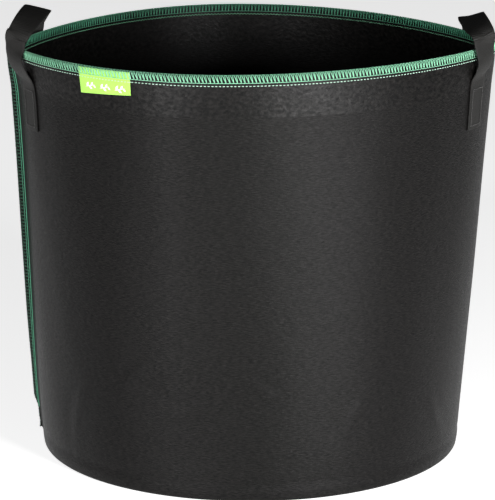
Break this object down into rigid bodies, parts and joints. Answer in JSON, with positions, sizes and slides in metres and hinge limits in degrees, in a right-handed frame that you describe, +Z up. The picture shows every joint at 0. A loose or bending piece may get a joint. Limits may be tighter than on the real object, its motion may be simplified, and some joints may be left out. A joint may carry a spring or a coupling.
{
  "type": "fabric grow bag",
  "caption": "Round open-topped felt planter bag with a bound rim, a stitched side seam, a flat round base, a webbing handle each side and a small sewn label.",
  "frame": {"origin": "on the floor, at the middle of the object's footprint, which is the centre of the round base", "axes": "+Z up, +X towards the handle opposite the side seam, -Y towards the side with the label"},
  "size_m": [0.464, 0.4, 0.4242],
  "materials": {
    "felt": "needle-punched felt, short matted fibres",
    "webbing": "ribbed polypropylene webbing",
    "green_thread": "polyester sewing thread",
    "black_thread": "polyester sewing thread",
    "label_ribbon": "woven satin ribbon with a pale print"
  },
  "bodies": {
    "bag": {"wall_panel": "felt", "base_panel": "felt", "base_turned_edge": "felt", "rim_overlock_thread": "green_thread", "rim_chain_stitch": "green_thread", "side_seam_overlock_thread": "green_thread", "side_seam_chain_stitch": "green_thread", "base_seam_overlock_thread": "green_thread", "base_seam_chain_stitch": "green_thread", "label_sewn_edge": "label_ribbon", "left_handle_front_end": "webbing", "left_front_tack_stitching": "black_thread", "left_handle_back_end": "webbing", "left_back_tack_stitching": "black_thread", "right_handle_front_end": "webbing", "right_front_tack_stitching": "black_thread", "right_handle_back_end": "webbing", "right_back_tack_stitching": "black_thread"},
    "left_handle": {"left_handle_loop": "webbing"},
    "right_handle": {"right_handle_loop": "webbing"},
    "label": {"label_flap": "label_ribbon"}
  },
  "joints": [
    {"name": "left_handle_swing", "type": "hinge", "parent": "bag", "child": "left_handle", "pos_m": [-0.213, -0.002, 0.397], "axis": [-0.0896, -0.996, 0], "range_deg": [-80, 60]},
    {"name": "right_handle_swing", "type": "hinge", "parent": "bag", "child": "right_handle", "pos_m": [0.215, -0.004, 0.397], "axis": [-0.0434, 0.9991, 0], "range_deg": [-80, 45]},
    {"name": "label_lift", "type": "hinge", "parent": "bag", "child": "label", "pos_m": [-0.12995, -0.14357, 0.3798], "axis": [-0.8399, 0.5428, 0], "range_deg": [0, 110]}
  ]
}
